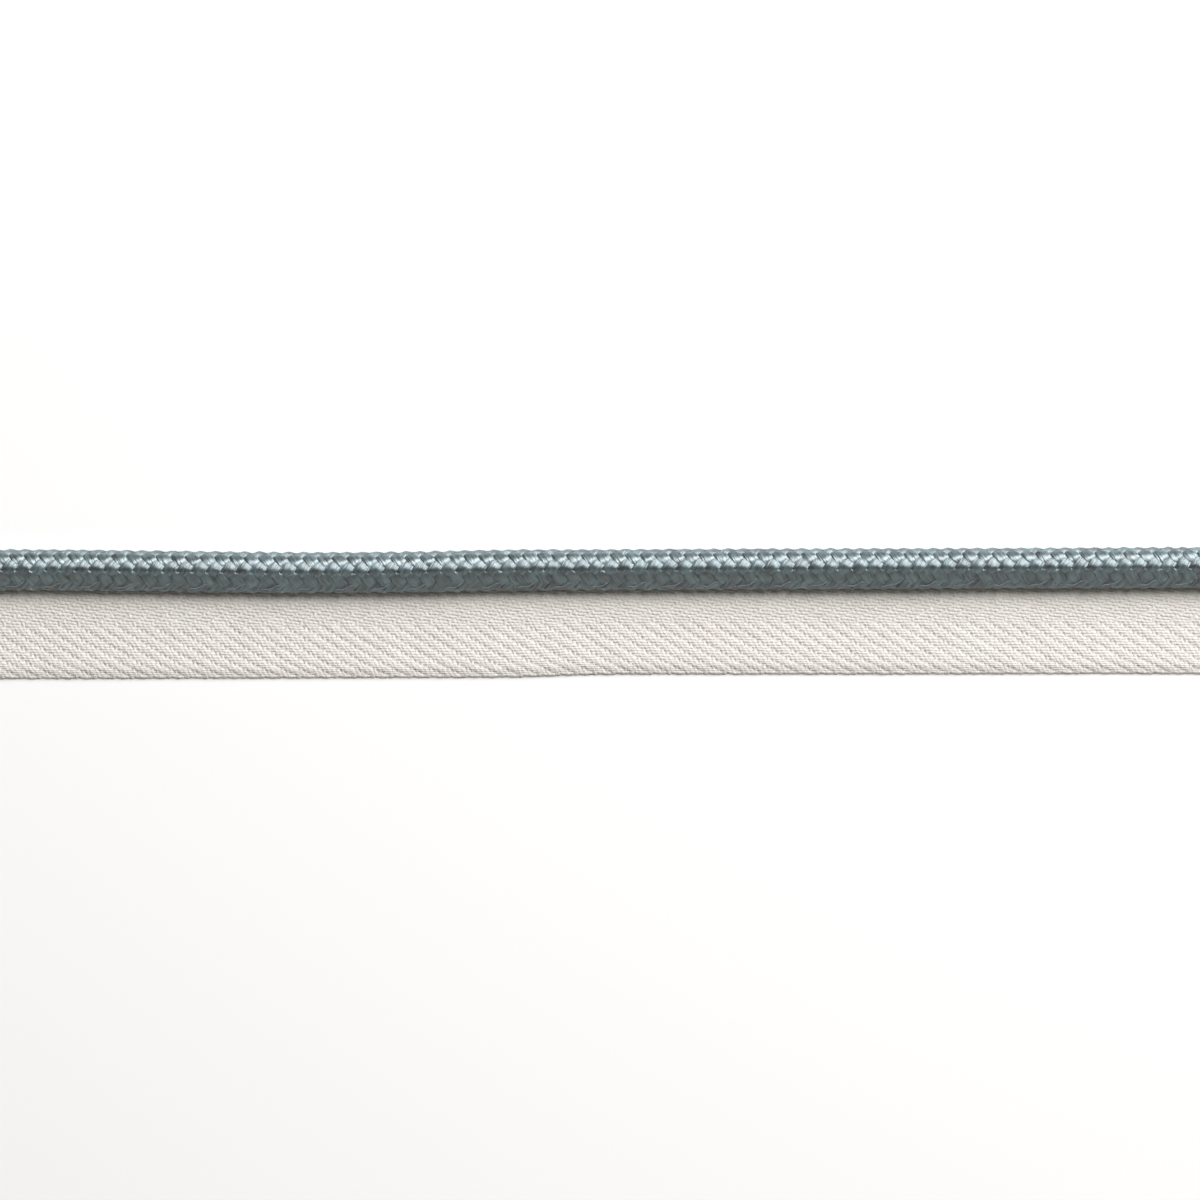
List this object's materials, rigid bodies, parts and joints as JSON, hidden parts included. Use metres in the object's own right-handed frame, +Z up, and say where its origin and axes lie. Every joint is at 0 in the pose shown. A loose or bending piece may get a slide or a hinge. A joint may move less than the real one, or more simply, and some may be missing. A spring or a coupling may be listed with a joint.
{
  "type": "piping trim",
  "caption": "Straight cut length of flanged piping: a braided satin cord, pressed oval and pinched beside its seam, sewn along one edge of a flat herringbone twill tape.",
  "frame": {"origin": "on the surface that the trim lies on, below the middle of its bounding box", "axes": "+X along the trim, +Y across it from the bare flange towards the cord, +Z up from the tape's underside"},
  "size_m": [0.196, 0.0185, 0.0052],
  "materials": {
    "cord_braid": "satin rayon braid, slate blue",
    "tape_twill": "matt cotton herringbone twill, pale greige"
  },
  "bodies": {
    "root": {"tape": "tape_twill", "cord": "cord_braid"}
  },
  "joints": []
}
